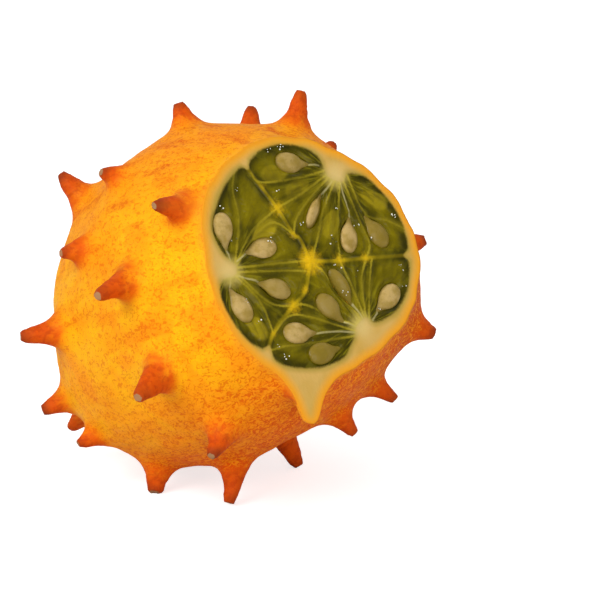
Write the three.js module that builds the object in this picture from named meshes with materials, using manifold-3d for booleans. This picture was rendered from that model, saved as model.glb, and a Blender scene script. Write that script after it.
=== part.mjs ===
import * as THREE from 'three';
import { ConvexHull } from 'three/addons/math/ConvexHull.js';
import { mergeVertices } from 'three/addons/utils/BufferGeometryUtils.js';
import Module from 'manifold-3d';

// Horned melon lying on four of its horns, one end sliced off square to its core.
// Fruit axes: +Z along the core to the sliced end, +Y up the slice, +X to the right of the slice.
// Lengths are millimetres, angles degrees.

// Rind
const BODY_RADIUS = 40;
const BODY_HALF_LENGTH = 51.5;
const FULLNESS = 0.086;
const LOBES = [
  { count: 3, height: 0.055, around: 114 },
  { count: 2, height: 0.035, around: 16 },
];
const BOW = new THREE.Vector2(4.4, 1.5);
const RIND_SPACING = 4.8;

// Slice
const SLICE_STATION = 0.745;
const SLICE_HEIGHT = BODY_HALF_LENGTH * SLICE_STATION;
const PULP_RECESS = 0.7;
const WALL_WIDTH = 0.7;
const STAR_RADIUS = 1.7;

// How it lies
const CORE_RISE = 26.7;
const FLOOR_DROP = 46.3;

// Horns
const HORN_SIDES = 10;
const HORN_PROFILE = [
  [5.6, 0],
  [4.1, 0.1],
  [3.0, 0.28],
  [2.4, 0.5],
  [1.9, 0.76],
  [1.2, 1],
];
const HORN_CLEARANCE = 2.1;
const MOUND_HEIGHT = 1.5;
const MOUND_SPREAD = 8;
const HORN_TYPICAL = 10;

// [latitude toward the slice, around the core, length, lean to the back, lean around, breadth]
const HORNS = [
  [12, 101, 7.7, 0, 1, 1],
  [33, 71, 10.7, 2, 4, 1],
  [-19, 127, 10.3, -7, -12, 1],
  [7, 131, 6.6, 0, 28, 1],
  [40, 149, 10.3, 20, 25, 1],
  [-3, 155, 7.5, 3, 22, 1],
  [19, 173, 12, 5, 21, 1.05],
  [-23, 177, 11.2, 0, -2, 1],
  [20, 206, 12.4, 0, 1, 1.05],
  [-43, 202, 8.6, 1, -8, 0.95],
  [-33, 219, 7.4, -12, -26, 0.95],
  [-25, 241, 9.6, -6, 12, 1],
  [20, 235, 9.9, 4, -15, 1],
  [-6, 258, 11.4, 7, -11, 1],
  [31, 327, 6.8, 2, -5, 1.1],
  [6, 71, 9, 0, 0, 1],
  [-56, 217, 8, 0, 0, 0.9],
  [-19, 293, 12.6, 0, 0, 1],
  [13, 3, 9, 0, 0, 1],
  [7, 42, 9, 0, 0, 1],
  [48, 250.5, 10.8, 41, 9, 1.5],
  [-38, 275, 10.6, 0, 0, 1],
  [11, 290, 8, 0, 6, 1],
  [14, 308, 8.5, -4, 0, 1],
  [-11, 326, 9.5, 0, -6, 1],
  [-3, 342, 9, 0, 0, 1],
  [-12, 0, 10, 0, 5, 1],
  [-10, 25, 9.5, 6, 0, 1],
  [-16, 52, 10, 0, -6, 1],
  [-26, 80, 8.5, 0, 0, 1],
  [-39, 315, 9, 0, 6, 1],
  [-38, 345, 10, 5, -5, 1],
  [-37, 18, 9, 0, 4, 1],
  [-43, 60, 10, 0, 0, 1],
  [-50, 100, 9, 0, 0, 1],
  [-62, 285, 8.5, 0, 0, 1],
  [-63, 350, 9, 0, 5, 1],
  [-64, 40, 8.5, 0, 0, 1],
  [-71, 105, 8.5, 0, 0, 1],
  [-74, 172, 7.5, 0, 0, 1],
];

// Corky scar where the stalk came away, at the back pole
const SCAR_PROFILE = [
  [5.2, 0],
  [4.2, 0.35],
  [3.4, 0.85],
  [2.6, 1],
];
const SCAR_HEIGHT = 2.2;

// Edge of the pulp on the slice, inward bays at the three pale placentas
const PULP_EDGE = [
  [-18.4, 1.6], [-20.8, 4.2], [-22, 9], [-20.9, 13], [-18.7, 16.7], [-15.4, 20.2], [-11.2, 22.6],
  [-8.2, 23.9], [-5, 25.6], [1.5, 26.4], [7.3, 25.4], [11.4, 22.4], [12.6, 18.6],
  [14.4, 17.2], [16.4, 16.8], [18.4, 18.2], [22.6, 16.6], [26.6, 12.1], [28.9, 6.8], [29.6, 1],
  [28.8, -5], [26.2, -11], [21.6, -15.2], [15, -17.2],
  [12.2, -15.6], [9, -17.4], [8.2, -19], [6.5, -21], [3, -23.4], [-3, -24.4], [-10, -23],
  [-14.4, -21], [-16.4, -18.6], [-20, -15.8], [-22.8, -9.8], [-23.9, -4], [-22.4, -1.4], [-19.2, -0.6],
];

// Septa and sac walls, each a run of points from a placenta or the star outward
const WALLS = [
  [[1.5, -0.5], [0.4, 5], [-1, 6.4], [-3.5, 13], [-8, 22], [-9, 25]],
  [[1.5, -0.5], [9.5, -1.5], [17, -2], [31, -3.2]],
  [[1.5, -0.5], [-2, -7], [-6.5, -10], [-13.5, -15.2], [-17, -20.5]],
  [[-19, 1], [-14.6, 11.5], [-14, 18.5], [-12, 23.5]],
  [[-19, 1], [-12, 8.5], [-3.5, 13]],
  [[-19, 1], [-11, 7.6], [-5.5, 9.8], [-1, 6.4]],
  [[-19, 1], [-2, 0], [1.5, -0.5]],
  [[-19, 0], [-6.5, -1.5], [-0.5, -2.5]],
  [[-19, 0], [-12.5, -8], [-6.5, -10]],
  [[-19.5, -0.5], [-14.8, -7.5], [-13.5, -15.2]],
  [[12.5, 20], [4, 19.2], [-6, 19.5], [-8, 22]],
  [[12.5, 19], [4.5, 15.6], [-3.5, 13]],
  [[13, 18.4], [6, 14], [1, 10], [-1, 6.4]],
  [[14.4, 17.6], [9.6, 11.5], [2.5, 0.5]],
  [[15.6, 17], [12, 7.5], [9.5, -1.5]],
  [[16.6, 17], [18, 7], [19, 1.2], [17, -2]],
  [[18, 18], [20, 8.8], [26, 5.8], [30.5, 3]],
  [[13, -16.4], [16.4, -7], [18.5, -2.4]],
  [[12.4, -15.6], [14, -7], [17, -2]],
  [[12, -15.8], [11, -8.5], [9.5, -1.5]],
  [[11, -16.4], [7, -7.4], [2.5, -1.2]],
  [[9.4, -17.4], [2, -12.8], [-3.5, -10], [-6.5, -10]],
  [[8.8, -18.4], [-2.5, -13.2], [-8, -12], [-13.5, -15.2]],
  [[8.6, -19.4], [-2, -19], [-11, -18.6], [-15.5, -18.8]],
];

// Seeds
const SEED_LENGTH = 8.4;
const SEED_WIDTH = 4.4;
const SEED_THICKNESS = 2.2;
const SEED_STAND = 0.15;
const SEED_GAP = 0.35;
const SEED_TAPER = 0.32;

// [middle x, middle y, direction of the pointed end, roll onto its edge]
const SEEDS = [
  [4.2, 23, -13, 0],
  [7.3, 11.3, 50, 52],
  [14.5, 4.2, 71, 12],
  [22, 4, 118, 0],
  [20, -12.3, 213, 0],
  [8.4, -7.9, -68, 52],
  [3.8, -12.2, -54, 8],
  [-6.2, -16.2, -10, 0],
  [-1, -21.6, 5, 0],
  [-19, 9.7, -99, 0],
  [-10.6, 4.5, 187, 15],
  [-9.8, -4.8, 155, 10],
  [-20, -7.3, 112, 0],
];

const SKIN = { color: 0xe8861c, roughness: 0.42, metalness: 0 };
const SEED_COAT = { color: 0xbfa765, roughness: 0.35, metalness: 0 };

const wasm = await Module();
wasm.setup();

const radians = THREE.MathUtils.degToRad;

// A closed solid from points and the triangles between them.
function solidFrom(points, triangles) {
  const mesh = new wasm.Mesh({
    numProp: 3,
    vertProperties: Float32Array.from(points.flatMap((p) => [p.x, p.y, p.z])),
    triVerts: Uint32Array.from(triangles.flat()),
  });
  return new wasm.Manifold(mesh);
}

function solidOf(geometry) {
  geometry.deleteAttribute('normal');
  geometry.deleteAttribute('uv');
  const welded = mergeVertices(geometry, 1e-5);
  const mesh = new wasm.Mesh({
    numProp: 3,
    vertProperties: Float32Array.from(welded.attributes.position.array),
    triVerts: Uint32Array.from(welded.index.array),
  });
  return new wasm.Manifold(mesh);
}

// Unit direction for a latitude toward the slice and an angle round the core.
function heading(latitude, around) {
  const tilt = radians(latitude);
  const turn = radians(around);
  const girth = Math.cos(tilt);
  return new THREE.Vector3(girth * Math.cos(turn), girth * Math.sin(turn), Math.sin(tilt));
}

// Smooth rind below the horns, reached from the middle of the fruit along a unit direction.
function smoothRind(direction) {
  const station = direction.z;
  const girth = Math.sqrt(Math.max(0, 1 - station * station));
  const turn = Math.atan2(direction.y, direction.x);
  let radius = BODY_RADIUS * girth * (1 + FULLNESS * station * station);
  let swell = 1;
  for (const lobe of LOBES) {
    swell += lobe.height * girth * Math.cos(lobe.count * (turn - radians(lobe.around)));
  }
  radius *= swell;
  const bow = girth * girth;
  return new THREE.Vector3(
    radius * Math.cos(turn) + BOW.x * bow,
    radius * Math.sin(turn) + BOW.y * bow,
    BODY_HALF_LENGTH * station,
  );
}

function outward(direction) {
  const normal = new THREE.Vector3(
    direction.x / BODY_RADIUS,
    direction.y / BODY_RADIUS,
    direction.z / BODY_HALF_LENGTH,
  );
  return normal.normalize();
}

// Frame of a horn: where it stands, which way it leans and how its rings scale on the unit sphere.
function plant([latitude, around, length, back, aside, breadth]) {
  const direction = heading(latitude, around);
  const normal = outward(direction);
  const east = new THREE.Vector3(-Math.sin(radians(around)), Math.cos(radians(around)), 0);
  const north = direction.clone().cross(east);
  const toBack = normal.clone().cross(east).negate();
  const lean = normal.clone();
  lean.addScaledVector(toBack, Math.tan(radians(back)));
  lean.addScaledVector(east, Math.tan(radians(aside)));
  lean.normalize();
  return {
    direction,
    lean,
    east,
    north,
    foot: smoothRind(direction),
    rise: length - MOUND_HEIGHT,
    breadth: breadth * (0.75 + 0.25 * (length / HORN_TYPICAL)),
    northScale: Math.hypot(BODY_RADIUS * direction.z, BODY_HALF_LENGTH * Math.hypot(direction.x, direction.y)),
  };
}

// Unit direction a given distance from the foot of a horn, at an angle round it.
function beside(horn, distance, turn) {
  const direction = horn.direction.clone();
  direction.addScaledVector(horn.east, (distance * Math.cos(turn)) / BODY_RADIUS);
  direction.addScaledVector(horn.north, (distance * Math.sin(turn)) / horn.northScale);
  return direction.normalize();
}

// Rind with the low mounds that carry the horns.
function rind(direction, horns) {
  const point = smoothRind(direction);
  let mound = 0;
  for (const horn of horns) {
    const away = point.distanceTo(horn.foot) / MOUND_SPREAD;
    mound += MOUND_HEIGHT * Math.exp(-away * away);
  }
  return point.addScaledVector(outward(direction), Math.min(mound, 1.6 * MOUND_HEIGHT));
}

// Even scatter of directions over the rind, kept clear of the horn bases.
function scatter(horns) {
  const area = 4 * Math.PI * BODY_RADIUS * BODY_HALF_LENGTH;
  const count = Math.round(area / (0.87 * RIND_SPACING * RIND_SPACING));
  const golden = Math.PI * (3 - Math.sqrt(5));
  const kept = [];
  for (let i = 0; i < count; i += 1) {
    const height = 1 - (2 * i + 1) / count;
    const girth = Math.sqrt(1 - height * height);
    const direction = new THREE.Vector3(girth * Math.cos(golden * i), girth * Math.sin(golden * i), height);
    const point = smoothRind(direction);
    const clear = horns.every((horn) => {
      const base = HORN_PROFILE[0][0] * horn.breadth + HORN_CLEARANCE;
      return point.distanceTo(horn.foot) > base;
    });
    if (clear) kept.push(direction);
  }
  return kept;
}

function hullTriangles(directions) {
  const order = new Map(directions.map((direction, index) => [direction, index]));
  const hull = new ConvexHull().setFromPoints(directions);
  return hull.faces.map((face) => {
    const corners = [];
    let edge = face.edge;
    do {
      corners.push(order.get(edge.head().point));
      edge = edge.next;
    } while (edge !== face.edge);
    return corners;
  });
}

// Rings of one horn above its base ring, closed by a blunt tip.
function raiseHorn(horn, profile, firstIndex, points, triangles, horns) {
  let below = firstIndex;
  for (let level = 1; level < profile.length; level += 1) {
    const [spread, height] = profile[level];
    const ring = points.length;
    for (let side = 0; side < HORN_SIDES; side += 1) {
      const turn = (2 * Math.PI * side) / HORN_SIDES;
      const point = rind(beside(horn, spread * horn.breadth, turn), horns);
      points.push(point.addScaledVector(horn.lean, height * horn.rise));
    }
    for (let side = 0; side < HORN_SIDES; side += 1) {
      const next = (side + 1) % HORN_SIDES;
      triangles.push([below + side, below + next, ring + next]);
      triangles.push([below + side, ring + next, ring + side]);
    }
    below = ring;
  }
  const tip = points.length;
  points.push(rind(horn.direction, horns).addScaledVector(horn.lean, 1.03 * horn.rise));
  for (let side = 0; side < HORN_SIDES; side += 1) {
    triangles.push([below + side, below + ((side + 1) % HORN_SIDES), tip]);
  }
}

// The whole fruit before it is sliced.
function wholeFruit() {
  const horns = HORNS.map(plant);
  const scar = plant([-90, 0, SCAR_HEIGHT + MOUND_HEIGHT, 0, 0, 1]);
  scar.breadth = 1;
  scar.rise = SCAR_HEIGHT;
  const stubs = [...horns.map((horn) => [horn, HORN_PROFILE]), [scar, SCAR_PROFILE]];
  const directions = [];
  const owner = [];
  stubs.forEach(([stub, profile], index) => {
    for (let side = 0; side < HORN_SIDES; side += 1) {
      const turn = (2 * Math.PI * side) / HORN_SIDES;
      directions.push(beside(stub, profile[0][0] * stub.breadth, turn));
      owner.push(index);
    }
  });
  for (const direction of scatter([...horns, scar])) {
    directions.push(direction);
    owner.push(-1);
  }
  const points = directions.map((direction) => rind(direction, horns));
  const triangles = hullTriangles(directions).filter(([a, b, c]) => {
    return owner[a] < 0 || owner[a] !== owner[b] || owner[b] !== owner[c];
  });
  stubs.forEach(([stub, profile], index) => {
    raiseHorn(stub, profile, index * HORN_SIDES, points, triangles, horns);
  });
  return solidFrom(points, triangles);
}

function block(width, depth, height, place) {
  const geometry = new THREE.BoxGeometry(width, depth, height);
  geometry.applyMatrix4(place);
  return solidOf(geometry);
}

// Everything beyond the slice.
function slicedOff() {
  const place = new THREE.Matrix4().makeTranslation(0, 0, SLICE_HEIGHT + 30);
  return block(140, 140, 60, place);
}

// Everything below the floor, which flattens the tips of the horns it lies on.
function underFloor(toFruit) {
  const place = new THREE.Matrix4().makeTranslation(0, 0, -FLOOR_DROP - 20);
  return block(200, 200, 40, place.premultiply(toFruit));
}

// One straight length of sac wall standing in the recess.
function wallRun(from, to) {
  const run = new THREE.Vector2(to[0] - from[0], to[1] - from[1]);
  const place = new THREE.Matrix4().makeRotationZ(run.angle());
  place.setPosition((from[0] + to[0]) / 2, (from[1] + to[1]) / 2, SLICE_HEIGHT);
  return block(run.length() + WALL_WIDTH, WALL_WIDTH, 4 * PULP_RECESS, place);
}

function pulpRecess() {
  const edge = new THREE.SplineCurve(PULP_EDGE.map(([x, y]) => new THREE.Vector2(x, y)));
  const shape = new THREE.Shape(edge.getPoints(3 * PULP_EDGE.length));
  const geometry = new THREE.ExtrudeGeometry(shape, { depth: 3 * PULP_RECESS, bevelEnabled: false });
  geometry.translate(0, 0, SLICE_HEIGHT - PULP_RECESS);
  let recess = solidOf(geometry);
  for (const wall of WALLS) {
    for (let i = 1; i < wall.length; i += 1) {
      recess = recess.subtract(wallRun(wall[i - 1], wall[i]));
    }
  }
  const star = new THREE.CylinderGeometry(STAR_RADIUS, STAR_RADIUS, 4 * PULP_RECESS, 6);
  star.rotateX(Math.PI / 2);
  star.translate(WALLS[0][0][0], WALLS[0][0][1], SLICE_HEIGHT);
  return recess.subtract(solidOf(star));
}

// Flattened teardrop on the slice; margin swells it all round into the pocket it sits in.
function seedGeometry([x, y, pointing, roll], margin) {
  const geometry = new THREE.SphereGeometry(1, 14, 10);
  geometry.rotateZ(-Math.PI / 2);
  const position = geometry.attributes.position;
  for (let i = 0; i < position.count; i += 1) {
    const along = position.getX(i);
    const taper = Math.max(0, (1 - along) / 2) ** SEED_TAPER;
    position.setXYZ(
      i,
      along * (SEED_LENGTH / 2 + margin),
      position.getY(i) * taper * 1.25 * (SEED_WIDTH / 2 + margin),
      position.getZ(i) * taper * 1.25 * (SEED_THICKNESS / 2 + margin),
    );
  }
  const halfWidth = (SEED_WIDTH / 2) * Math.sin(radians(roll));
  const halfThickness = (SEED_THICKNESS / 2) * Math.cos(radians(roll));
  geometry.rotateX(radians(roll));
  geometry.rotateZ(radians(pointing));
  geometry.translate(x, y, SLICE_HEIGHT + SEED_STAND - Math.hypot(halfWidth, halfThickness));
  return geometry;
}

function paint(name, geometry, finish) {
  const material = new THREE.MeshStandardMaterial(finish);
  material.name = name.startsWith('seed') ? 'seed' : 'skin';
  const mesh = new THREE.Mesh(geometry, material);
  mesh.name = name;
  return mesh;
}

function geometryOf(solid) {
  const { vertProperties, triVerts } = solid.getMesh();
  const geometry = new THREE.BufferGeometry();
  geometry.setAttribute('position', new THREE.BufferAttribute(Float32Array.from(vertProperties), 3));
  geometry.setIndex(new THREE.BufferAttribute(Uint32Array.from(triVerts), 1));
  return geometry;
}

// Fruit axes into the object's axes: slice toward -Y with its face turned a little upward.
const toObject = new THREE.Matrix4().makeRotationX(radians(90 - CORE_RISE));
const toFruit = toObject.clone().invert();

let fruit = wholeFruit();
fruit = fruit.subtract(slicedOff());
fruit = fruit.subtract(underFloor(toFruit));
fruit = fruit.subtract(pulpRecess());
for (const seed of SEEDS) {
  fruit = fruit.subtract(solidOf(seedGeometry(seed, SEED_GAP)));
}

const melon = geometryOf(fruit);
melon.applyMatrix4(toObject);
melon.computeBoundingBox();
const box = melon.boundingBox;
const settle = new THREE.Matrix4().makeTranslation(
  -(box.min.x + box.max.x) / 2,
  -(box.min.y + box.max.y) / 2,
  -box.min.z,
);
melon.applyMatrix4(settle);
melon.computeVertexNormals();

const object = new THREE.Group();
object.name = 'horned_melon';
object.add(paint('melon', melon, SKIN));
SEEDS.forEach((seed, index) => {
  const geometry = mergeVertices(seedGeometry(seed, 0));
  geometry.applyMatrix4(toObject);
  geometry.applyMatrix4(settle);
  geometry.computeVertexNormals();
  object.add(paint(`seed_${String(index + 1).padStart(2, '0')}`, geometry, SEED_COAT));
});

export default object;
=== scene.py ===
"""Looks of the sliced horned melon: waxy rind with horns, wet green pulp, and damp seeds."""
import math
import random

import bmesh
import bpy
import numpy as np
from mathutils import Matrix, Vector, noise


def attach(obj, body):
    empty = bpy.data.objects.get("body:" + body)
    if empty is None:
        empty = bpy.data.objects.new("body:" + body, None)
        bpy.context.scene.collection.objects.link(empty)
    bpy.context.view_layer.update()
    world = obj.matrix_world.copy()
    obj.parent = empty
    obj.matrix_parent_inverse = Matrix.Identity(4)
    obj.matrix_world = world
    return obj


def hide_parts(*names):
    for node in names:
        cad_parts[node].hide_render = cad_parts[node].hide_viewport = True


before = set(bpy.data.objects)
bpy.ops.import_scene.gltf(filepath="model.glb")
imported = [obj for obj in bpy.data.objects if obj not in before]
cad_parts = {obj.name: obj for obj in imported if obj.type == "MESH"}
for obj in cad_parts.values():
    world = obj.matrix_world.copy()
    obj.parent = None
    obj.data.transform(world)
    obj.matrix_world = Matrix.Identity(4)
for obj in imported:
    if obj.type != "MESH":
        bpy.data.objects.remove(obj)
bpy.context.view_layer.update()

# Lengths are millimetres, and metres where they are times MM
MM = 0.001

# Textures are counted in centimetres of the fruit's own axes
TEXTURE_UNIT = 10

# The fruit as the CAD model draws it: millimetres and degrees in the fruit's own axes,
# +Z along the core to the slice, +Y up the slice, +X to the right of the slice.
BODY_RADIUS = 40.0
BODY_HALF_LENGTH = 51.5
FULLNESS = 0.086
LOBES = ((3, 0.055, 114), (2, 0.035, 16))
BOW = np.array((4.4, 1.5))
SLICE_HEIGHT = 0.745 * BODY_HALF_LENGTH
CORE_RISE = 26.7
CORE_MIDDLE = Vector((-6.062, -3.718, 46.3)) * MM
STAR = np.array((1.5, -0.5))

# Search for the smooth body under a point
SEARCH_ROUNDS = 12
SEARCH_POWER = 0.8

# Rind: the mesh. The cut end is pushed out by the overshoot, remeshed, and cut again.
WELD_GAP = 0.02 * MM
CUT_MARGIN = 0.05
OVERSHOOT = 3.0
VOXEL = 0.62 * MM
SMOOTHING_ROUNDS = 4
FOOT_SNAP = 0.35 * MM
LIP_DEPTH = 2.0
LIP_INSET = 0.06

# Rind: horns and relief. A horn's waist is the stretch that its direction is taken from, as shares
# of its height, and the tip is cut off square to that direction.
HORN_FULL_HEIGHT = 9.0
HORN_LEAST = 5.0
HORN_REACH = 9.0
HORN_WAIST = (0.45, 0.6)
TIP_CUT = 0.55
RELIEF_STRETCH = np.array((1, 1, 0.35))
SWELL = 0.3
WRINKLE = 0.16
GRAIN = 0.06

# Slice: the mesh, and how many of its points are measured at once
SPOKES = 620
RINGS = 96
SKIRT_DEPTH = 1.2
SKIRT_SHARE = 0.985
CHUNK = 4000

# Slice: relief
WALL_HALF_WIDTH = 0.22
SAC_SINK = 0.22
SAC_DOME = 0.4
GEL_LUMPS = 0.16
STAR_RISE = 0.25
STALK_RISE = 0.1
FLESH_GRAIN = 0.04
SEED_DIP = 0.5
SEED_BED = 1.2
MOAT_MARGIN = 1.6
BED_MARGIN = -0.6

# Strands of the gel, which fan out from the placentas
FAN_SPREAD = 7.0
FAN_FALL = 0.12
FAN_GAP = 5

# Seeds: larger than their solids, as the photograph shows them, and drawn out at the point
SEED_LIFT = 0.25 * MM
SEED_GROWTH = 1.1
LONG_SEEDS = {"seed_02": 1.35, "seed_05": 1.15, "seed_06": 1.35}
SEED_BELLY = 1.06
SEED_NARROWING = 0.42
SEED_POINT = 0.7
SEED_DIMPLE = 0.06

# Outline of a seed in the gel
DEEP_SEED_SIZE = (8.2, 4.2)
LENS_BELLY = 1.25
LENS_TAPER = 0.32
LENS_EDGE = (0.82, 1.08)

PLACENTAS = ((-20.6, 0.4), (14.8, 18.6), (10.6, -17.6))

# Edge of the pulp: the CAD model's, let out by up to 1.4 mm at the top, the upper right and the
# lower left, where the flesh is thin
PULP_EDGE = (
    (-18.4, 1.6), (-20.8, 4.2), (-22, 9), (-20.9, 13), (-18.7, 16.7), (-15.4, 20.4), (-11.2, 23.3),
    (-7.6, 24.9), (-3.6, 27), (1.7, 27.7), (6.6, 26.8), (10.3, 24.8), (11.9, 22.3), (12.5, 18.8),
    (14.4, 17.2), (16.6, 16.9), (18.3, 18.5), (23.1, 17), (27.1, 12.1), (29.6, 6.4), (29.9, 0.8),
    (28.7, -5), (26.2, -11), (21.4, -15.4), (14.8, -17.3),
    (12.2, -15.6), (9, -17.4), (8.2, -19), (6.5, -21), (3.4, -23.8), (-3, -24.9), (-10, -23.9),
    (-14.3, -21.9), (-16.4, -18.9), (-20.2, -16.3), (-23.3, -10.8), (-24.6, -5), (-23.2, -1.4), (-19.2, -0.5),
)

# Septa: broad walls from the star to the rind
SEPTA = (
    ((1.5, -0.5), (0.4, 5), (-1, 6.4), (-3.5, 13), (-8, 22), (-9, 25)),
    ((1.5, -0.5), (9.5, -1.5), (17, -2), (31, -3.2)),
    ((1.5, -0.5), (-2, -7), (-6.5, -10), (-13.5, -15.2), (-17, -20.5)),
)

# Notch that the flesh makes into the gel at each septum
NOTCH_DEPTH = 1.5
NOTCH_WIDTH = 1.0

# Knots where walls meet, which glow like the star: middle and how much fainter, as a distance
KNOTS = (
    ((-3.4, 13.1), 1.5), ((-1.2, 6.2), 2.5), ((9.6, -1.4), 2.0), ((16.9, -1.9), 2.3),
    ((-6.3, -10.1), 1.6), ((-1.9, -6.8), 2.5), ((-13.5, -15.4), 2.5), ((-5.6, 18.4), 3.0),
)

# Thin walls of the juice sacs, from each placenta outward
SAC_WALLS = (
    ((-19, 1), (-14.6, 11.5), (-14, 18.5), (-12, 23.5)),
    ((-19, 1), (-12, 8.5), (-3.5, 13)),
    ((-19, 1), (-11, 7.6), (-5.5, 9.8), (-1, 6.4)),
    ((-19, 1), (-2, 0), (1.5, -0.5)),
    ((-19, 0), (-6.5, -1.5), (-0.5, -2.5)),
    ((-19, 0), (-12.5, -8), (-6.5, -10)),
    ((-19.5, -0.5), (-14.8, -7.5), (-13.5, -15.2)),
    ((12.5, 20), (4, 19.2), (-6, 19.5), (-8, 22)),
    ((12.5, 19), (4.5, 15.6), (-3.5, 13)),
    ((13, 18.4), (6, 14), (1, 10), (-1, 6.4)),
    ((14.4, 17.6), (9.6, 11.5), (2.5, 0.5)),
    ((15.6, 17), (12, 7.5), (9.5, -1.5)),
    ((16.6, 17), (18, 7), (19, 1.2), (17, -2)),
    ((18, 18), (20, 8.8), (26, 5.8), (30.5, 3)),
    ((13, -16.4), (16.4, -7), (18.5, -2.4)),
    ((12.4, -15.6), (14, -7), (17, -2)),
    ((12, -15.8), (11, -8.5), (9.5, -1.5)),
    ((11, -16.4), (7, -7.4), (2.5, -1.2)),
    ((9.4, -17.4), (2, -12.8), (-3.5, -10), (-6.5, -10)),
    ((8.8, -18.4), (-2.5, -13.2), (-8, -12), (-13.5, -15.2)),
    ((8.6, -19.4), (-2, -19), (-11, -18.6), (-15.5, -18.8)),
)

# Seed stalks, from a seed's point to its placenta; their pale colour also stands for painted highlight
# streaks on the wet pulp
STALKS_AND_HIGHLIGHTS = (
    ((8.4, 22), (11, 21.4)),
    ((10, 14.6), (14, 17.6)),
    ((15.8, 8.2), (15.6, 13), (15.6, 16.8)),
    ((16.4, -14.6), (14, -16.6)),
    ((10, -11.6), (11.4, -15.6)),
    ((6.2, -15.6), (9, -17.4)),
    ((-2.2, -17), (4, -17.6), (8.4, -18.6)),
    ((-19.6, 5.6), (-19.6, 2.2)),
    ((-14.8, 3.9), (-18, 2.4)),
    ((-13.6, -3), (-19, -0.8)),
    ((-21.4, -3.4), (-20.6, -0.6)),
)

# Seeds that lie deeper, seen through the gel: middle, direction of the point, strength
DEEP_SEEDS = (
    ((-8.6, 8.4), 205, 0.75),
    ((23.6, 11.4), 150, 0.5),
    ((9.8, 7.4), 55, 0.4),
    ((-17.6, -12.6), 120, 0.6),
    ((-1.5, 21), 0, 0.35),
    ((3.5, 16.8), 20, 0.3),
)

# Seeds that a film of gel covers, and how much of it
VEILS = {"seed_01": 0.4, "seed_04": 0.9, "seed_06": 1.0, "seed_07": 0.8, "seed_09": 1.0, "seed_12": 0.55}

# Tiny wet beads on the pulp, some of them painted white as painted highlights: middle of each cluster and how
# many
BEADS = (
    (1.9, 26.7, 7), (-2.1, 26.6, 3), (-12.8, 18.9, 4), (-7.8, 6.1, 5), (2.0, 9.0, 3),
    (9.2, 4.1, 4), (12.1, 10.5, 3), (17.2, 6.3, 3), (28.2, 6.3, 5), (20.0, 2.7, 2),
    (26.0, -5.3, 4), (-18.6, -6.7, 3), (-16.6, -12.4, 3), (-13.7, -18.2, 3), (-12.2, -20.8, 4),
    (8.2, -8.9, 4), (13.1, -4.6, 2), (7.8, -2.6, 3), (-17.4, 8.1, 3), (-3.9, -18.0, 2),
    (16.3, -14.3, 3), (-2.6, 17.2, 2), (25.1, -10.0, 2), (-18.4, 15.1, 3),
)
BEAD_RADIUS = (0.08, 0.21)
BEAD_SPREAD = 0.55
BEAD_RISE = 0.12

# Where the photograph is taken from: degrees, metres and millimetres of lens
AZIMUTH = -35.7
ELEVATION = 15.0
DISTANCE = 0.6
LENS = 149.4
SENSOR = 36
AIM_RIGHT = 18.94 * MM
AIM_UP = 0.36 * MM

# Square soft lamps: name, azimuth and elevation, distance and size in metres, power in watts
LAMPS = (
    ("key", -80, 36, 0.9, 0.5, 4.8),
    ("front", -10, 12, 1.1, 0.6, 3.0),
    ("rear", 110, 60, 1.0, 0.6, 0.9),
)

# Strength of the white surroundings as light; the camera sees them at full white
AMBIENT = 0.55

# Floor: half its width in metres, its shade, and the glow that only the camera sees
FLOOR_HALF = 1.5
FLOOR_SHADE = 0.7
FLOOR_GLOW = 0.7


def colour(code):
    """Linear colour of a web colour such as "ff8800"."""
    parts = [int(code[i : i + 2], 16) / 255 for i in (0, 2, 4)]
    linear = [c / 12.92 if c <= 0.04045 else ((c + 0.055) / 1.055) ** 2.4 for c in parts]
    return (*linear, 1.0)


# ---------------------------------------------------------------- fruit axes

TURN = Matrix.Rotation(math.radians(90 - CORE_RISE), 3, "X")
TO_ROW = np.array(TURN)
MIDDLE = np.array(CORE_MIDDLE)


def to_fruit(points):
    """Points of the row frame, in metres, in the fruit's axes, in millimetres."""
    return (points - MIDDLE) @ TO_ROW / MM


def to_row(points):
    """The way back from to_fruit."""
    return points * MM @ TO_ROW.T + MIDDLE


def smoothstep(value, low, high):
    """0 up to low, 1 from high on, and smooth between them."""
    t = np.clip((value - low) / (high - low), 0, 1)
    return t * t * (3 - 2 * t)


def height_over_body(points):
    """How far points stand out of the smooth body under the horns, in millimetres."""
    shrink = np.ones(len(points))
    for _ in range(SEARCH_ROUNDS):
        inner = points / shrink[:, None]
        station = np.clip(inner[:, 2] / BODY_HALF_LENGTH, -0.999, 0.999)
        girth = np.sqrt(1 - station**2)
        side = inner[:, :2] - BOW * (girth**2)[:, None]
        around = np.arctan2(side[:, 1], side[:, 0])
        swell = np.ones(len(points))
        for count, lift, at in LOBES:
            swell += lift * girth * np.cos(count * (around - math.radians(at)))
        radius = BODY_RADIUS * girth * (1 + FULLNESS * station**2) * swell
        now = np.hypot(np.hypot(side[:, 0], side[:, 1]) / radius * girth, station)
        shrink *= now**SEARCH_POWER
    return np.linalg.norm(points, axis=1) * (1 - 1 / shrink)


def horn_tips(points, height):
    """The top point of every horn, and for each point which of those horns it belongs to."""
    tips = []
    for index in np.argsort(-height):
        if height[index] < HORN_LEAST:
            break
        if all(np.linalg.norm(points[index] - points[other]) > HORN_REACH for other in tips):
            tips.append(index)
    gaps = np.stack([np.linalg.norm(points - points[tip], axis=1) for tip in tips])
    return np.array(tips), gaps.argmin(axis=0)


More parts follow.
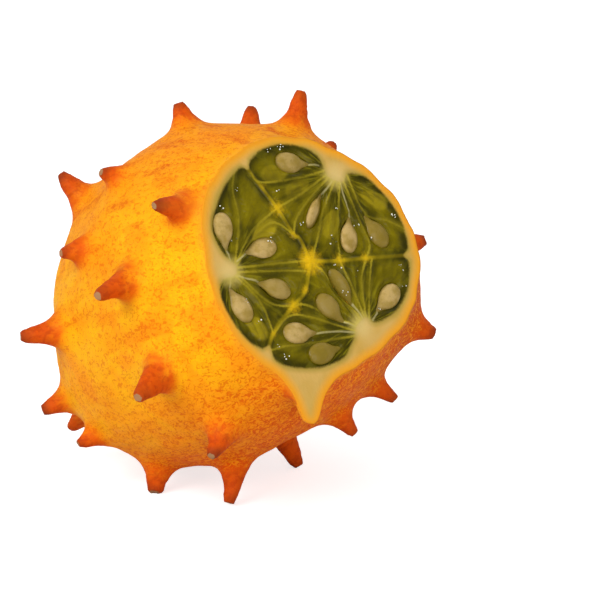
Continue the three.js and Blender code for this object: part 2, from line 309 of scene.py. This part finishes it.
def blunt_horns(points, height):
    """Flattens the end of each horn square to it; also gives each point's share of its horn."""
    tips, owner = horn_tips(points, height)
    share = np.clip(height / height[tips][owner], 0, 1)
    blunted = points.copy()
    for number, tip in enumerate(tips):
        mine = (owner == number) & (share > HORN_WAIST[0])
        waist = points[mine & (share < HORN_WAIST[1])].mean(axis=0)
        way = points[tip] - waist
        way /= np.linalg.norm(way)
        over = (points - points[tip]) @ way + TIP_CUT
        chosen = mine & (over > 0)
        blunted[chosen] -= over[chosen, None] * way
        share[chosen] = 1.0
    return blunted, share


# ---------------------------------------------------------------- mesh helpers


def of_vertices(mesh, field):
    """One row for each vertex: its place where the field is "co", or its "normal"."""
    flat = np.empty(len(mesh.vertices) * 3)
    mesh.vertices.foreach_get(field, flat)
    return flat.reshape(-1, 3)


def coordinates(mesh):
    return of_vertices(mesh, "co")


def move_vertices(mesh, points):
    mesh.vertices.foreach_set("co", np.ascontiguousarray(points, dtype=np.float32).ravel())
    mesh.update()


def store(mesh, name, values):
    """Keeps a number or a vector for each vertex, under a name that the materials read."""
    kind = "FLOAT" if values.ndim == 1 else "FLOAT_VECTOR"
    attribute = mesh.attributes.new(name, kind, "POINT")
    field = "value" if values.ndim == 1 else "vector"
    attribute.data.foreach_set(field, np.ascontiguousarray(values, dtype=np.float32).ravel())


def store_texture_place(mesh, points):
    store(mesh, "fruit", points / TEXTURE_UNIT)


def add(name, data):
    """A new object in the scene."""
    made = bpy.data.objects.new(name, data)
    bpy.context.scene.collection.objects.link(made)
    return made


def place(name, mesh):
    piece = add(name, mesh)
    mesh.shade_smooth()
    return piece


def with_modifiers(mesh, steps):
    """The mesh after some modifiers, each (type, settings)."""
    helper = add("helper", mesh)
    for kind, settings in steps:
        modifier = helper.modifiers.new(kind.lower(), kind)
        for key, value in settings.items():
            setattr(modifier, key, value)
    bpy.context.view_layer.update()
    graph = bpy.context.evaluated_depsgraph_get()
    result = bpy.data.meshes.new_from_object(helper.evaluated_get(graph))
    bpy.data.objects.remove(helper)
    return result


def fractal(points, scale, octaves=3, seed=0.0):
    """Smooth noise from about -1 to 1 at points given in millimetres; scale is its grain."""
    shift = Vector((seed, 2 * seed, -seed))
    grain = points / scale
    values = [noise.fractal(Vector(p) + shift, 1.0, 2.0, octaves) for p in grain]
    return np.array(values)


# ---------------------------------------------------------------- rind


def skin_only(bm):
    """Keeps the outer skin, which the slice has parted from the walls inside."""
    bm.verts.ensure_lookup_table()
    lowest = min(bm.verts, key=lambda v: v.co.z)
    reached = {lowest}
    front = [lowest]
    while front:
        vertex = front.pop()
        for edge in vertex.link_edges:
            other = edge.other_vert(vertex)
            if other not in reached:
                reached.add(other)
                front.append(other)
    inner = [v for v in bm.verts if v not in reached]
    bmesh.ops.delete(bm, geom=inner, context="VERTS")


def close_under_slice(bm, core, middle):
    """Turns the cut edge inward and closes it below the slice, where the pulp hides it."""
    rim = [e for e in bm.edges if e.is_boundary]
    grown = bmesh.ops.extrude_edge_only(bm, edges=rim)["geom"]
    lip = [g for g in grown if isinstance(g, bmesh.types.BMVert)]
    for vertex in lip:
        vertex.co += (middle - vertex.co) * LIP_INSET - core * LIP_DEPTH * MM
    bmesh.ops.holes_fill(bm, edges=[e for e in bm.edges if e.is_boundary], sides=0)
    bmesh.ops.triangulate(bm, faces=[f for f in bm.faces if len(f.verts) > 4])


def make_rind():
    """The skin with its horns, and the loop of points where the slice cuts it."""
    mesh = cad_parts["melon"].data.copy()
    mesh.materials.clear()
    points = to_fruit(coordinates(mesh))
    at_slice = points[:, 2] > SLICE_HEIGHT - CUT_MARGIN
    points[at_slice, 2] += OVERSHOOT
    move_vertices(mesh, to_row(points))
    mesh = with_modifiers(
        mesh,
        (
            ("WELD", {"merge_threshold": WELD_GAP}),
            ("SUBSURF", {"levels": 2, "render_levels": 2}),
            ("REMESH", {"mode": "VOXEL", "voxel_size": VOXEL}),
            ("SMOOTH", {"factor": 0.5, "iterations": SMOOTHING_ROUNDS}),
        ),
    )
    core = TURN @ Vector((0, 0, 1))
    middle = CORE_MIDDLE + core * SLICE_HEIGHT * MM
    bm = bmesh.new()
    bm.from_mesh(mesh)
    everything = bm.verts[:] + bm.edges[:] + bm.faces[:]
    bmesh.ops.bisect_plane(bm, geom=everything, plane_co=middle, plane_no=core, clear_outer=True)
    skin_only(bm)
    loop = np.array([v.co[:] for v in bm.verts if v.is_boundary])
    close_under_slice(bm, core, middle)
    bm.to_mesh(mesh)
    bm.free()
    mesh.update()
    roughen_rind(mesh)
    return place("rind", mesh), to_fruit(loop)[:, :2]


def roughen_rind(mesh):
    """Low swells on the skin and wrinkles up the horns, then the marks that colour them."""
    points = to_fruit(coordinates(mesh))
    normals = of_vertices(mesh, "normal")
    height = height_over_body(points)
    points, share = blunt_horns(points, height)
    horn = np.clip(height / HORN_FULL_HEIGHT, 0, 1)
    stretched = points * RELIEF_STRETCH
    swells = SWELL * fractal(stretched, scale=7.0, octaves=3, seed=3.0)
    wrinkles = WRINKLE * fractal(points, scale=1.7, octaves=2, seed=11.0) * smoothstep(horn, 0.12, 0.4)
    grain = GRAIN * fractal(stretched, scale=1.3, octaves=2, seed=7.0)
    away_from_slice = smoothstep(SLICE_HEIGHT - points[:, 2], 0.2, 2.0)
    lift = (swells + wrinkles + grain) * away_from_slice * MM
    row = to_row(points) + normals * lift[:, None]
    row[row[:, 2] < FOOT_SNAP, 2] = 0.0
    move_vertices(mesh, row)
    store(mesh, "horn", horn)
    store(mesh, "tip", share)
    store(mesh, "cut", SLICE_HEIGHT - points[:, 2])
    store_texture_place(mesh, points)


# ---------------------------------------------------------------- slice


def along(points, step=0.2):
    """Points every step along a smooth curve through the given ones."""
    knots = np.array(points, dtype=float)
    ends = np.vstack((2 * knots[0] - knots[1], knots, 2 * knots[-1] - knots[-2]))
    out = []
    for i in range(1, len(ends) - 2):
        a, b, c, d = ends[i - 1 : i + 3]
        count = max(2, int(np.linalg.norm(c - b) / step))
        t = np.linspace(0, 1, count, endpoint=False)[:, None]
        bend = (2 * a - 5 * b + 4 * c - d) * t**2 + (3 * b - a - 3 * c + d) * t**3
        out.append(0.5 * (2 * b + (c - a) * t + bend))
    out.append(knots[-1:])
    return np.vstack(out)


def nearest(points, targets):
    """Distance from each point to the nearest target."""
    found = np.empty(len(points))
    for start in range(0, len(points), CHUNK):
        part = points[start : start + CHUNK]
        gap = part[:, None, :] - targets[None, :, :]
        found[start : start + CHUNK] = np.sqrt((gap**2).sum(axis=2).min(axis=1))
    return found


def inside(points, outline):
    """True where a point is inside a closed outline."""
    crossings = np.zeros(len(points), dtype=int)
    for a, b in zip(outline, np.roll(outline, -1, axis=0)):
        if a[1] == b[1]:
            continue
        spans = (points[:, 1] < a[1]) != (points[:, 1] < b[1])
        at = a[0] + (points[:, 1] - a[1]) * (b[0] - a[0]) / (b[1] - a[1])
        crossings += spans & (points[:, 0] < at)
    return crossings % 2 == 1


def outline_radius(loop):
    """Radius of the cut skin round the star at evenly spaced angles."""
    side = loop - STAR
    turn = np.arctan2(side[:, 1], side[:, 0])
    order = np.argsort(turn)
    angles = np.linspace(-math.pi, math.pi, SPOKES, endpoint=False)
    radius = np.hypot(side[:, 0], side[:, 1])
    return angles, np.interp(angles, turn[order], radius[order], period=2 * math.pi)


def disc_points(loop):
    """The star, then rings of points from it out to the cut skin."""
    angles, radius = outline_radius(loop)
    share = np.arange(1, RINGS + 1) / RINGS
    spread = share[:, None] * radius[None, :]
    x = STAR[0] + spread * np.cos(angles)
    y = STAR[1] + spread * np.sin(angles)
    flat = np.column_stack((x.ravel(), y.ravel()))
    return np.vstack((STAR[None, :], flat))


def disc_faces():
    """Quads from the star outward, a skirt below the edge and a closed underside."""
    under = 1 + RINGS * SPOKES
    bottom = under + SPOKES
    faces = []
    for k in range(SPOKES):
        after = (k + 1) % SPOKES
        faces.append((0, 1 + k, 1 + after))
        for ring in range(RINGS):
            inner = 1 + ring * SPOKES
            outer = inner + SPOKES
            faces.append((inner + k, outer + k, outer + after, inner + after))
        faces.append((under + after, under + k, bottom))
    return faces


def stretch_of(node):
    """How much longer than its CAD solid a seed is drawn."""
    return LONG_SEEDS.get(node.name, SEED_GROWTH)


def lie_of_seed(node):
    """Middle on the slice, direction of the point in degrees, drawn length and width of a seed."""
    points = to_fruit(coordinates(node.data))[:, :2]
    middle = (points.max(axis=0) + points.min(axis=0)) / 2
    side = points - points.mean(axis=0)
    way = np.linalg.eigh(side.T @ side)[1][:, 1]
    reach = side @ way
    across = side @ np.array((-way[1], way[0]))
    if (reach * across**2).sum() > 0:
        way = -way
    pointing = math.degrees(math.atan2(way[1], way[0]))
    return middle, pointing, np.ptp(reach) * stretch_of(node), np.ptp(across) * SEED_GROWTH


def lens_shape(points, middle, pointing, length, width):
    """1 inside a seed's outline, fading to 0 just outside it."""
    turn = math.radians(pointing)
    side = points - np.array(middle)
    u = (side[:, 0] * math.cos(turn) + side[:, 1] * math.sin(turn)) / (length / 2)
    v = (-side[:, 0] * math.sin(turn) + side[:, 1] * math.cos(turn)) / (width / 2)
    taper = np.clip((1 - u) / 2, 0.02, 1) ** LENS_TAPER * LENS_BELLY
    return 1 - smoothstep(np.hypot(u, v / taper), *LENS_EDGE)


def with_margin(lies, margin):
    """The same seeds with a margin added to their length and width."""
    return [(middle, pointing, length + margin, width + margin) for middle, pointing, length, width in lies]


def fan_out(points):
    """Coordinates that change fast round the nearest placenta and slowly away from it."""
    away = points[:, None] - np.array(PLACENTAS)
    reach = np.linalg.norm(away, axis=2)
    own = reach.argmin(axis=1)
    distance = reach.min(axis=1)
    way = away[np.arange(len(points)), own] / np.maximum(distance, 0.1)[:, None]
    return np.column_stack((way * FAN_SPREAD, distance * FAN_FALL + own * FAN_GAP))


def nearest_run(points, runs):
    """Distance from each point to the nearest of some smooth curves."""
    return nearest(points, np.vstack([along(run) for run in runs]))


def slice_marks(points, loop, seed_lies):
    """Distances and shares that shape and colour the slice."""
    rim = along(np.vstack((loop, loop[:1])), step=0.3)
    outline = along(PULP_EDGE + PULP_EDGE[:1], step=0.25)
    to_pulp_edge = nearest(points, outline) * np.where(inside(points, outline), 1, -1)
    septum = nearest_run(points, SEPTA)
    to_pulp_edge -= NOTCH_DEPTH * np.exp(-((septum / NOTCH_WIDTH) ** 2))
    star = np.linalg.norm(points - STAR, axis=1)
    for middle, fainter in KNOTS:
        star = np.minimum(star, np.linalg.norm(points - middle, axis=1) + fainter)
    deep = [strength * lens_shape(points, *lie, *DEEP_SEED_SIZE) for *lie, strength in DEEP_SEEDS]
    moats = [lens_shape(points, *lie) for lie in with_margin(seed_lies, MOAT_MARGIN)]
    beds = [lens_shape(points, *lie) for lie in with_margin(seed_lies, BED_MARGIN)]
    return {
        "peel": nearest(points, rim),
        "pulp": to_pulp_edge,
        "septum": septum,
        "sac": nearest_run(points, SAC_WALLS),
        "stalk": nearest_run(points, STALKS_AND_HIGHLIGHTS),
        "placenta": nearest(points, np.array(PLACENTAS)),
        "star": star,
        "deep": np.maximum.reduce(deep),
        "fan": fan_out(points),
        "moat": np.maximum.reduce(moats),
        "bed": np.maximum.reduce(beds),
    }


def slice_relief(points, marks):
    """Height of the slice over its plane: firm flesh flat, gel sunk at the walls and domed between."""
    room = np.minimum.reduce((marks["pulp"], marks["septum"], marks["sac"]))
    gel = smoothstep(marks["pulp"], 0.0, 0.9)
    spots = np.column_stack((points, np.zeros(len(points))))
    sunk = -SAC_SINK * smoothstep(room, WALL_HALF_WIDTH, 0.9)
    domed = SAC_DOME * smoothstep(room, 0.7, 3.0)
    lumps = GEL_LUMPS * fractal(spots, scale=1.6, octaves=3, seed=5.0) * smoothstep(room, 0.3, 1.2)
    star = STAR_RISE * (1 - smoothstep(marks["star"], 0.4, 2.2))
    stalks = STALK_RISE * (1 - smoothstep(marks["stalk"], 0.1, 0.45)) * gel
    flesh = FLESH_GRAIN * fractal(spots, scale=0.8, octaves=3, seed=9.0) * smoothstep(marks["peel"], 0.1, 1.0)
    height = gel * (sunk + domed + lumps) + star + stalks + flesh
    height = height * (1 - marks["moat"]) - SEED_DIP * marks["moat"]
    return height - (SEED_BED - SEED_DIP) * marks["bed"]


def make_slice(loop, seed_lies):
    """The cut face with its flesh, walls and gel, closed by a skirt and an underside."""
    side = loop - STAR
    loop = loop[np.argsort(np.arctan2(side[:, 1], side[:, 0]))]
    points = disc_points(loop)
    marks = slice_marks(points, loop, seed_lies)
    top = np.column_stack((points, SLICE_HEIGHT + slice_relief(points, marks)))
    inset = STAR + (points[-SPOKES:] - STAR) * SKIRT_SHARE
    skirt = np.column_stack((inset, np.full(SPOKES, SLICE_HEIGHT - SKIRT_DEPTH)))
    bottom = np.array(((*STAR, SLICE_HEIGHT - SKIRT_DEPTH),))
    shell = np.vstack((top, skirt, bottom))
    mesh = bpy.data.meshes.new("pulp")
    mesh.from_pydata(to_row(shell).tolist(), [], disc_faces())
    mesh.update()
    for name, values in marks.items():
        below = np.repeat(values[-1:], SPOKES + 1, axis=0)
        store(mesh, name, np.concatenate((values, below)))
    store_texture_place(mesh, shell)
    return place("pulp", mesh)


# ---------------------------------------------------------------- seeds


def drawn_out(points, stretch, middle, pointing, length):
    """A seed made longer and wider, with its pointed half narrowed and its point drawn out."""
    turn = math.radians(pointing)
    way = np.array((math.cos(turn), math.sin(turn), 0))
    heart = np.array((*middle, points[:, 2].mean()))
    side = points - heart
    reach = side @ way
    across = (side - reach[:, None] * way) * (SEED_GROWTH, SEED_GROWTH, 1)
    reach = reach * stretch
    share = reach / (length / 2)
    narrow = SEED_BELLY - SEED_NARROWING * smoothstep(share, 0.1, 0.85)
    drawn = reach + SEED_POINT * smoothstep(share, 0.6, 1.0)
    return heart + drawn[:, None] * way + across * narrow[:, None]


def make_beads():
    """Tiny wet beads in clusters on the pulp."""
    draw = random.Random(7)
    bm = bmesh.new()
    for x, y, count in BEADS:
        for _ in range(count):
            right = x + draw.gauss(0, BEAD_SPREAD)
            up = y + draw.gauss(0, BEAD_SPREAD)
            spot = to_row(np.array((right, up, SLICE_HEIGHT + BEAD_RISE)))
            radius = draw.uniform(*BEAD_RADIUS) * MM
            place_at = Matrix.Translation(Vector(spot))
            bmesh.ops.create_icosphere(bm, subdivisions=2, radius=radius, matrix=place_at)
    mesh = bpy.data.meshes.new("beads")
    bm.to_mesh(mesh)
    bm.free()
    store_texture_place(mesh, to_fruit(coordinates(mesh)))
    return place("beads", mesh)


def make_seed(node):
    """A CAD seed rounded off, with the faint dimples of a damp seed coat."""
    mesh = with_modifiers(
        node.data.copy(),
        (
            ("WELD", {"merge_threshold": WELD_GAP}),
            ("SUBSURF", {"levels": 2, "render_levels": 2}),
        ),
    )
    mesh.materials.clear()
    row = to_row(drawn_out(to_fruit(coordinates(mesh)), stretch_of(node), *lie_of_seed(node)[:3]))
    dimples = SEED_DIMPLE * fractal(row / MM, scale=0.9, octaves=3, seed=1.0) * MM
    lift = np.array(TURN @ Vector((0, 0, SEED_LIFT)))
    move_vertices(mesh, row + of_vertices(mesh, "normal") * dimples[:, None] + lift)
    store_texture_place(mesh, to_fruit(row))
    store(mesh, "veil", np.full(len(row), VEILS.get(node.name, 0.0)))
    return place(node.name + "_coat", mesh)


# ---------------------------------------------------------------- materials


class Paint:
    """A node material with short calls for the few nodes that it needs."""

    def __init__(self, name):
        self.material = bpy.data.materials.new(name)
        self.material.use_nodes = True
        self.tree = self.material.node_tree
        self.surface = self.tree.nodes["Principled BSDF"]

    def node(self, kind):
        return self.tree.nodes.new("ShaderNode" + kind)

    def join(self, source, target):
        if isinstance(source, bpy.types.NodeSocket):
            self.tree.links.new(source, target)
        else:
            target.default_value = source

    def mark(self, name, vector=False):
        node = self.node("Attribute")
        node.attribute_name = name
        return node.outputs["Vector" if vector else "Fac"]

    def span(self, value, low, high, start=0.0, end=1.0):
        """value from low to high becomes start to end, smoothly and no further."""
        node = self.node("MapRange")
        node.interpolation_type = "SMOOTHSTEP"
        self.join(value, node.inputs["Value"])
        for name, number in (("From Min", low), ("From Max", high), ("To Min", start), ("To Max", end)):
            node.inputs[name].default_value = number
        return node.outputs["Result"]

    def math(self, operation, a, b=0.0):
        node = self.node("Math")
        node.operation = operation
        self.join(a, node.inputs[0])
        self.join(b, node.inputs[1])
        return node.outputs[0]

    def scaled(self, vector, by):
        node = self.node("VectorMath")
        node.operation = "MULTIPLY"
        self.join(vector, node.inputs[0])
        node.inputs[1].default_value = by
        return node.outputs[0]

    def plus(self, value, other, times):
        """value + other x times."""
        return self.math("ADD", value, self.math("MULTIPLY", other, times))

    def part(self, vector, axis):
        node = self.node("SeparateXYZ")
        self.join(vector, node.inputs[0])
        return node.outputs[axis]

    def noise(self, vector, scale, detail=3.0, warp=0.0):
        node = self.node("TexNoise")
        self.join(vector, node.inputs["Vector"])
        node.inputs["Scale"].default_value = scale
        node.inputs["Detail"].default_value = detail
        node.inputs["Distortion"].default_value = warp
        return node.outputs["Fac"]

    def mix(self, share, a, b):
        node = self.node("Mix")
        node.data_type = "RGBA"
        self.join(share, node.inputs[0])
        self.join(a, node.inputs[6])
        self.join(b, node.inputs[7])
        return node.outputs[2]

    def over(self, base, code, *shares):
        """A web colour laid over the base by the product of some shares."""
        share = shares[0]
        for other in shares[1:]:
            share = self.math("MULTIPLY", share, other)
        return self.mix(share, base, colour(code))

    def bump(self, height, strength, distance):
        node = self.node("Bump")
        node.inputs["Strength"].default_value = strength
        node.inputs["Distance"].default_value = distance
        self.join(height, node.inputs["Height"])
        self.join(node.outputs[0], self.surface.inputs["Normal"])

    def set(self, **values):
        """Sets or links the surface's sockets, whose names are written with underscores."""
        for name, value in values.items():
            self.join(value, self.surface.inputs[name.replace("_", " ")])


def rind_material():
    """Yellow skin, redder and darker to the lower right, partly its own colour and partly painted shade,
    redder up the horns, with streaks and flecks.
    """
    paint = Paint("rind")
    fruit = paint.mark("fruit", vector=True)
    horn = paint.mark("horn")
    tip = paint.mark("tip")
    cut = paint.mark("cut")
    up = paint.part(fruit, 1)
    right = paint.part(fruit, 0)
    streaks = paint.noise(paint.scaled(fruit, (1.0, 1.0, 0.16)), scale=2.6, detail=5.0, warp=0.6)
    fine_streaks = paint.noise(paint.scaled(fruit, (1.0, 1.0, 0.12)), scale=8.0, detail=4.0, warp=0.3)
    blotches = paint.noise(fruit, scale=0.9, detail=3.0, warp=0.4)
    patches = paint.noise(fruit, scale=0.6, detail=4.0, warp=0.8)
    flecks = paint.noise(paint.scaled(fruit, (1.0, 1.0, 0.7)), scale=12.0, detail=4.0, warp=1.3)

    # Broad changes of colour over the body; the deeper, darker orange towards the lower right is partly the
    # skin's own colour and partly painted shade
    lower_right_tint_and_shade = paint.span(paint.plus(right, up, -0.8), -2.0, 2.6)
    top = paint.span(up, 1.2, 3.8)
    ruddy = paint.plus(0.3, top, 0.4)
    base = paint.mix(paint.span(blotches, 0.35, 0.7), colour("ffbb08"), colour("fda406"))
    base = paint.over(base, "f58a0a", paint.span(patches, 0.5, 0.62, 0.0, 0.55))
    base = paint.over(base, "f08a0e", top, 0.7)
    # Deeper and darker orange to the lower right and far right: partly the skin's own colour, partly painted
    # shade on the side away from the key lamp
    base = paint.over(base, "e65800", lower_right_tint_and_shade, 0.92)
    base = paint.over(base, "c64c00", lower_right_tint_and_shade, paint.span(right, 1.2, 3.2, 0.0, 0.9))
    base = paint.over(base, "d24a04", paint.span(streaks, 0.5, 0.7), ruddy)
    base = paint.over(base, "ffb81e", paint.span(fine_streaks, 0.55, 0.75), 0.3)

    # Pale and deep flecks
    flecked = paint.plus(0.52, lower_right_tint_and_shade, 0.3)
    base = paint.over(base, "fb9c14", paint.span(flecks, 0.49, 0.6), flecked)
    base = paint.over(base, "d44c00", paint.span(flecks, 0.5, 0.38), flecked)

    # Horns: a smear round the foot, red sides, a dark end and a corky tip
    base = paint.over(base, "de5806", paint.span(horn, 0.05, 0.34), paint.span(streaks, 0.3, 0.6, 0.3, 0.9))
    base = paint.over(base, "d25208", paint.span(horn, 0.22, 0.66, 0.0, 0.95))
    streaked = paint.span(fine_streaks, 0.46, 0.62, 0.0, 0.55)
    base = paint.over(base, "b43c06", paint.span(horn, 0.2, 0.5), streaked)
    blotched = paint.span(blotches, 0.3, 0.65, 0.35, 0.9)
    base = paint.over(base, "8c3410", paint.span(tip, 0.62, 0.95), blotched)
    base = paint.over(base, "a98a62", paint.span(tip, 0.985, 0.999, 0.0, 0.75))

    base = paint.over(base, "f0a428", paint.span(cut, 2.2, 0.0, 0.0, 0.4))

    paint.set(Base_Color=base, Roughness=paint.span(streaks, 0.3, 0.7, 0.5, 0.62))
    paint.set(IOR=1.4, Specular_IOR_Level=0.1)
    paint.set(Subsurface_Weight=0.06, Subsurface_Scale=0.0015, Subsurface_Radius=(1.0, 0.5, 0.15))
    paint.bump(flecks, 0.35, 0.0004)
    return paint.material


def pulp_material():
    """Wet green gel with pale strands and walls, glowing knots, and the firm flesh round it."""
    paint = Paint("pulp")
    fruit = paint.mark("fruit", vector=True)
    peel = paint.mark("peel")
    pulp = paint.mark("pulp")
    septum = paint.mark("septum")
    sac = paint.mark("sac")
    star = paint.mark("star")
    stalk = paint.mark("stalk")
    placenta = paint.mark("placenta")
    cloud = paint.noise(fruit, scale=1.3, detail=2.0, warp=0.3)
    fibre = paint.noise(fruit, scale=9.0, detail=4.0, warp=1.5)
    strands = paint.noise(paint.mark("fan", vector=True), scale=1.6, detail=4.0, warp=0.2)
    wobble = paint.math("SUBTRACT", fibre, 0.5)
    shaken = paint.plus(sac, wobble, 0.5)

    # Body of the gel, darker along the sac walls and at the flesh as painted shade where it sinks, with
    # deeper seeds and strands
    room = paint.math("MINIMUM", paint.math("MINIMUM", sac, septum), pulp)
    gel = paint.mix(paint.span(cloud, 0.4, 0.6), colour("383500"), colour("655a00"))
    # Lighter in the middle of each sac, leaving painted shade along the sunk walls
    gel = paint.over(gel, "827302", paint.span(room, 0.4, 2.8, 0.0, 0.55))
    # Darker where the gel sinks against the flesh: painted shade
    gel = paint.over(gel, "302c00", paint.span(pulp, 3.2, 0.4, 0.0, 0.72))
    gel = paint.over(gel, "b09a1a", paint.mark("deep"), 0.85)
    faint = paint.span(placenta, 18.0, 4.0, 0.35, 1.0)
    gel = paint.over(gel, "9a8e18", paint.span(strands, 0.5, 0.68, 0.0, 0.5), faint)
    gel = paint.over(gel, "332f00", paint.span(strands, 0.5, 0.34, 0.0, 0.55), faint)
    gel = paint.over(gel, "7c6e0c", paint.span(shaken, 1.5, 0.3), paint.span(cloud, 0.35, 0.65, 0.15, 0.6))

    # Walls, the star and its knots, stalks with painted highlight streaks, and placentas
    inward = paint.math("MINIMUM", star, placenta)
    gel = paint.over(gel, "a89622", paint.span(shaken, 0.42, 0.1), paint.span(inward, 9.0, 2.4, 0.3, 0.85))
    gel = paint.over(gel, "b09612", paint.span(septum, 0.75, 0.1), paint.span(star, 6.0, 2.2, 0.25, 0.9))
    gel = paint.over(gel, "dcb010", paint.span(paint.plus(star, wobble, 3.0), 4.2, 0.6))
    # Pale seed stalks, brightened as painted highlight streaks
    gel = paint.over(gel, "ccc084", paint.span(stalk, 0.36, 0.08, 0.0, 0.5))
    gel = paint.over(gel, "cab458", paint.span(paint.plus(placenta, wobble, 0.8), 4.8, 1.2, 0.0, 0.9))

    # Flesh, from the gel out to the skin
    flesh = paint.mix(paint.span(cloud, 0.3, 0.7), colour("c8a04a"), colour("d2aa5c"))
    flesh = paint.over(flesh, "9a8830", paint.span(pulp, -1.6, -0.1, 0.0, 0.6))
    flesh = paint.over(flesh, "dcc27c", paint.span(placenta, 4.4, 0.4, 0.0, 0.7))
    flesh = paint.over(flesh, "eaa22a", paint.span(peel, 2.9, 0.5))
    flesh = paint.over(flesh, "f0981a", paint.span(peel, 1.0, 0.1, 0.0, 0.8))
    base = paint.mix(paint.span(paint.plus(pulp, wobble, 0.5), -0.4, 0.5), flesh, gel)

    paint.set(Base_Color=base, Roughness=paint.span(pulp, -0.6, 0.6, 0.45, 0.1))
    paint.set(IOR=1.36, Specular_IOR_Level=0.1, Coat_Weight=0.05, Coat_Roughness=0.04)
    paint.set(Subsurface_Weight=0.15, Subsurface_Scale=0.0015, Subsurface_Radius=(1.0, 0.85, 0.25))
    paint.bump(paint.math("ADD", fibre, strands), 0.2, 0.0003)
    return paint.material


def bead_material():
    """Some beads are painted near white as painted highlights and the others take the colour of the gel."""
    paint = Paint("bead")
    painted_highlight_share = paint.noise(paint.mark("fruit", vector=True), scale=14.0, detail=1.0)
    # Near-white beads: painted highlights
    base = paint.mix(paint.span(painted_highlight_share, 0.44, 0.5), colour("4a4810"), colour("f4f2e2"))
    paint.set(Base_Color=base, Roughness=0.04, IOR=1.4, Coat_Weight=1.0, Coat_Roughness=0.02)
    return paint.material


def seed_material():
    """Pale seed coat, greener where it dips below the slice or a film of gel veils it."""
    paint = Paint("seed")
    fruit = paint.mark("fruit", vector=True)
    cloud = paint.noise(fruit, scale=3.5, detail=3.0)
    grain = paint.noise(fruit, scale=22.0, detail=3.0, warp=0.8)
    depth = paint.part(fruit, 2)
    flush = SLICE_HEIGHT / TEXTURE_UNIT
    base = paint.mix(paint.span(cloud, 0.35, 0.65), colour("a2863c"), colour("c0a262"))
    base = paint.over(base, "7c6428", paint.span(grain, 0.55, 0.75, 0.0, 0.35))
    base = paint.over(base, "6e5c10", paint.span(depth, flush - 0.02, flush - 0.1, 0.0, 0.8))
    base = paint.over(base, "7e6a10", paint.mark("veil"), 0.85)
    paint.set(Base_Color=base, Roughness=0.32, Specular_IOR_Level=0.15)
    paint.set(Coat_Weight=0.12, Coat_Roughness=0.05)
    paint.set(Subsurface_Weight=0.15, Subsurface_Scale=0.001, Subsurface_Radius=(1.0, 0.8, 0.4))
    paint.bump(grain, 0.3, 0.0002)
    return paint.material


def floor_material():
    """White floor that stays white to the camera and keeps the shadow on it."""
    paint = Paint("floor")
    rays = paint.node("LightPath")
    glow = paint.math("MULTIPLY", rays.outputs["Is Camera Ray"], FLOOR_GLOW)
    paint.set(Base_Color=(FLOOR_SHADE, FLOOR_SHADE, FLOOR_SHADE, 1), Roughness=0.9, Specular_IOR_Level=0.1)
    paint.set(Emission_Color=(1, 1, 1, 1), Emission_Strength=glow)
    return paint.material


# ---------------------------------------------------------------- stage


def way_to(azimuth, elevation):
    """Direction from the fruit at these angles, counted as the camera's are."""
    turn = math.radians(azimuth)
    rise = math.radians(elevation)
    return Vector((math.sin(turn) * math.cos(rise), -math.cos(turn) * math.cos(rise), math.sin(rise)))


def add_camera():
    """Camera at the photographer's place."""
    turn = math.radians(AZIMUTH)
    back = way_to(AZIMUTH, ELEVATION)
    right = Vector((math.cos(turn), math.sin(turn), 0))
    up = back.cross(right)
    spot = CORE_MIDDLE + right * AIM_RIGHT + up * AIM_UP + back * DISTANCE
    camera = add("camera", bpy.data.cameras.new("camera"))
    camera.data.lens = LENS
    camera.data.sensor_width = SENSOR
    camera.data.clip_start = 0.01
    camera.matrix_world = Matrix.Translation(spot) @ Matrix((right, up, back)).transposed().to_4x4()
    bpy.context.scene.camera = camera


def add_lamp(name, azimuth, elevation, distance, size, power):
    """Square soft lamp aimed at the fruit."""
    way = way_to(azimuth, elevation)
    lamp = add(name, bpy.data.lights.new(name, "AREA"))
    lamp.data.size = size
    lamp.data.energy = power
    lamp.location = CORE_MIDDLE + way * distance
    lamp.rotation_euler = way.to_track_quat("Z", "Y").to_euler()


def add_world():
    """White to the camera and through clear things, dimmer as light."""
    world = bpy.data.worlds.new("world")
    bpy.context.scene.world = world
    world.use_nodes = True
    tree = world.node_tree
    rays = tree.nodes.new("ShaderNodeLightPath")
    seen = tree.nodes.new("ShaderNodeMath")
    seen.operation = "MAXIMUM"
    tree.links.new(rays.outputs["Is Camera Ray"], seen.inputs[0])
    tree.links.new(rays.outputs["Is Transmission Ray"], seen.inputs[1])
    strength = tree.nodes.new("ShaderNodeMapRange")
    strength.inputs["To Min"].default_value = AMBIENT
    strength.inputs["To Max"].default_value = 1.0
    tree.links.new(seen.outputs[0], strength.inputs["Value"])
    background = tree.nodes["Background"]
    background.inputs["Color"].default_value = (1, 1, 1, 1)
    tree.links.new(strength.outputs[0], background.inputs["Strength"])


def add_floor():
    mesh = bpy.data.meshes.new("floor")
    corners = [(x * FLOOR_HALF, y * FLOOR_HALF, 0) for x, y in ((-1, -1), (1, -1), (1, 1), (-1, 1))]
    mesh.from_pydata(corners, [], [(0, 1, 2, 3)])
    mesh.materials.append(floor_material())
    floor = add("floor", mesh)


def dress(piece, material, slot, *nodes):
    """Gives a piece its material and body, and the CAD nodes that it replaces; the slot is not used."""
    piece.data.materials.clear()
    piece.data.materials.append(material)
    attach(piece, "root")
    if nodes:
        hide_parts(*nodes)


add_camera()
bpy.context.scene.view_settings.view_transform = "Standard"
add_world()
add_floor()
for lamp in LAMPS:
    add_lamp(*lamp)

seed_nodes = [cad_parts[n] for n in sorted(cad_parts) if n.startswith("seed")]
rind, cut_loop = make_rind()
dress(rind, rind_material(), "skin", "melon")
dress(make_slice(cut_loop, [lie_of_seed(node) for node in seed_nodes]), pulp_material(), "skin")
dress(make_beads(), bead_material(), "skin")
coat = seed_material()
for node in seed_nodes:
    dress(make_seed(node), coat, "seed", node.name)
